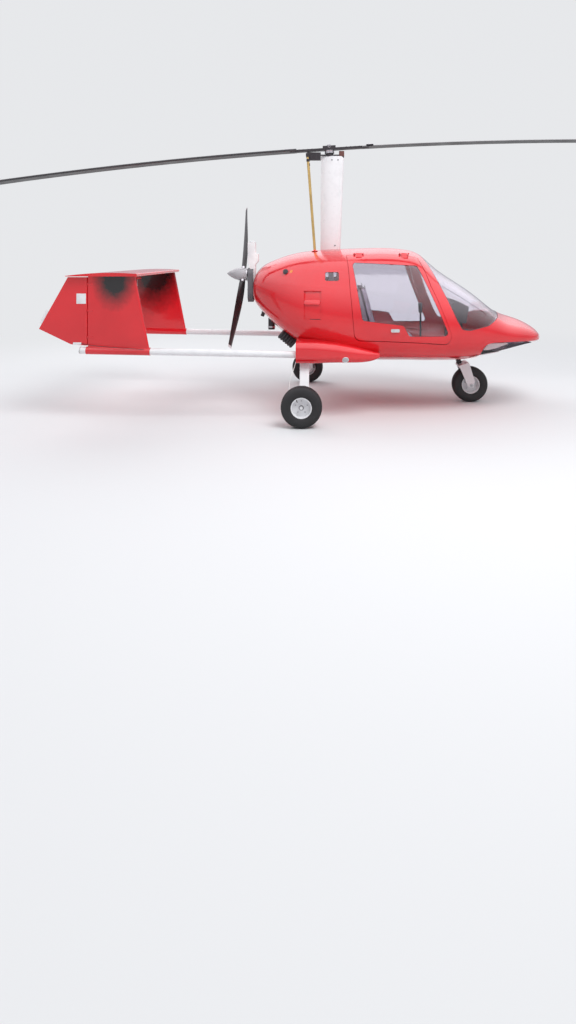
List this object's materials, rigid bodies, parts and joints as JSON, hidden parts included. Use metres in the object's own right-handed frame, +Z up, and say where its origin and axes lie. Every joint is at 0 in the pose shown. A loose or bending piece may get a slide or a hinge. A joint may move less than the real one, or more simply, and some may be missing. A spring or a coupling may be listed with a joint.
{
  "type": "gyrocopter",
  "caption": "Cabin gyrocopter with a red pod, faired mast and rotor, pusher propeller, tail booms with fins, and tricycle gear.",
  "frame": {"origin": "on the ground on the centreline, under the rotor hub", "axes": "+X forward to the nose, +Y to port, +Z up"},
  "size_m": [8.4875, 2.456, 3.0469],
  "materials": {
    "red_shell": "glossy red gelcoat",
    "tinted_glass": "grey tinted acrylic",
    "interior": "dark grey trim",
    "seat_cloth": "dark woven upholstery",
    "white_paint": "white enamel",
    "blade_black": "satin black composite",
    "rotor_grey": "dark grey anodised",
    "head_steel": "dark painted steel",
    "gold_rod": "yellow passivated tube",
    "cast_alloy": "dark engine castings",
    "spinner_grey": "light grey moulding",
    "tank_white": "white moulded tank",
    "black_rubber": "black rubber",
    "wheel_white": "white enamel",
    "chrome_trim": "bright chrome",
    "lamp_white": "white lamp housing"
  },
  "bodies": {
    "airframe": {"pod_tub": "red_shell", "pod_upper": "red_shell", "engine_cowl": "red_shell", "windscreen": "tinted_glass", "side_windows": "tinted_glass", "cabin_floor": "interior", "firewall": "interior", "seats": "seat_cloth", "instrument_panel": "interior", "control_stick": "interior", "mast": "white_paint", "push_rods": "gold_rod", "rotor_head": "head_steel", "engine": "cast_alloy", "redrive": "cast_alloy", "coolant_tank": "tank_white", "exhaust": "head_steel", "air_duct": "interior", "gear_beam": "white_paint", "sponson_right": "red_shell", "sponson_left": "red_shell", "boom_right": "white_paint", "boom_left": "white_paint", "fin_right": "red_shell", "fin_left": "red_shell", "stabiliser": "red_shell", "gear_leg_right": "white_paint", "gear_leg_left": "white_paint", "nose_strut": "head_steel", "chin_lamp": "lamp_white"},
    "rotor": {"rotor_hub": "rotor_grey", "rotor_blade_front": "rotor_grey", "rotor_blade_rear": "rotor_grey"},
    "propeller": {"prop_hub": "spinner_grey", "prop_blades": "blade_black"},
    "door_right": {"door_right": "red_shell", "door_window_right": "tinted_glass", "door_handle_right": "chrome_trim"},
    "door_left": {"door_left": "red_shell", "door_window_left": "tinted_glass", "door_handle_left": "chrome_trim"},
    "rudder_right": {"rudder_right": "red_shell"},
    "rudder_left": {"rudder_left": "red_shell"},
    "wheel_right": {"tyre_right": "black_rubber", "rim_right": "wheel_white"},
    "wheel_left": {"tyre_left": "black_rubber", "rim_left": "wheel_white"},
    "nose_leg": {"nose_fork": "white_paint"},
    "wheel_nose": {"tyre_nose": "black_rubber", "rim_nose": "wheel_white"}
  },
  "joints": [
    {"name": "rotor_spin", "type": "hinge", "parent": "airframe", "child": "rotor", "pos_m": [0, 0, 2.923], "axis": [-0.0628, 0, 0.998], "continuous": true},
    {"name": "propeller_spin", "type": "hinge", "parent": "airframe", "child": "propeller", "pos_m": [-1, 0, 1.477], "axis": [-0.9986, 0, 0.0523], "continuous": true},
    {"name": "door_right_lift", "type": "hinge", "parent": "airframe", "child": "door_right", "pos_m": [0.57, -0.4, 1.714], "axis": [-1, 0, 0], "range_deg": [0, 75]},
    {"name": "door_left_lift", "type": "hinge", "parent": "airframe", "child": "door_left", "pos_m": [0.57, 0.4, 1.714], "axis": [1, 0, 0], "range_deg": [0, 75]},
    {"name": "rudder_right_turn", "type": "hinge", "parent": "airframe", "child": "rudder_right", "pos_m": [-2.505, -0.87, 1.1], "axis": [0, 0, 1], "range_deg": [-25, 25]},
    {"name": "rudder_left_turn", "type": "hinge", "parent": "airframe", "child": "rudder_left", "pos_m": [-2.505, 0.87, 1.1], "axis": [0, 0, 1], "range_deg": [-25, 25]},
    {"name": "wheel_right_spin", "type": "hinge", "parent": "airframe", "child": "wheel_right", "pos_m": [-0.282, -1.15, 0.204], "axis": [0, 1, 0], "continuous": true},
    {"name": "wheel_left_spin", "type": "hinge", "parent": "airframe", "child": "wheel_left", "pos_m": [-0.282, 1.15, 0.204], "axis": [0, 1, 0], "continuous": true},
    {"name": "nose_steer", "type": "hinge", "parent": "airframe", "child": "nose_leg", "pos_m": [1.493, 0, 0.5], "axis": [-0.309, 0, 0.9511], "range_deg": [-30, 30]},
    {"name": "wheel_nose_spin", "type": "hinge", "parent": "nose_leg", "child": "wheel_nose", "pos_m": [1.63, 0, 0.204], "axis": [0, 1, 0], "continuous": true}
  ]
}
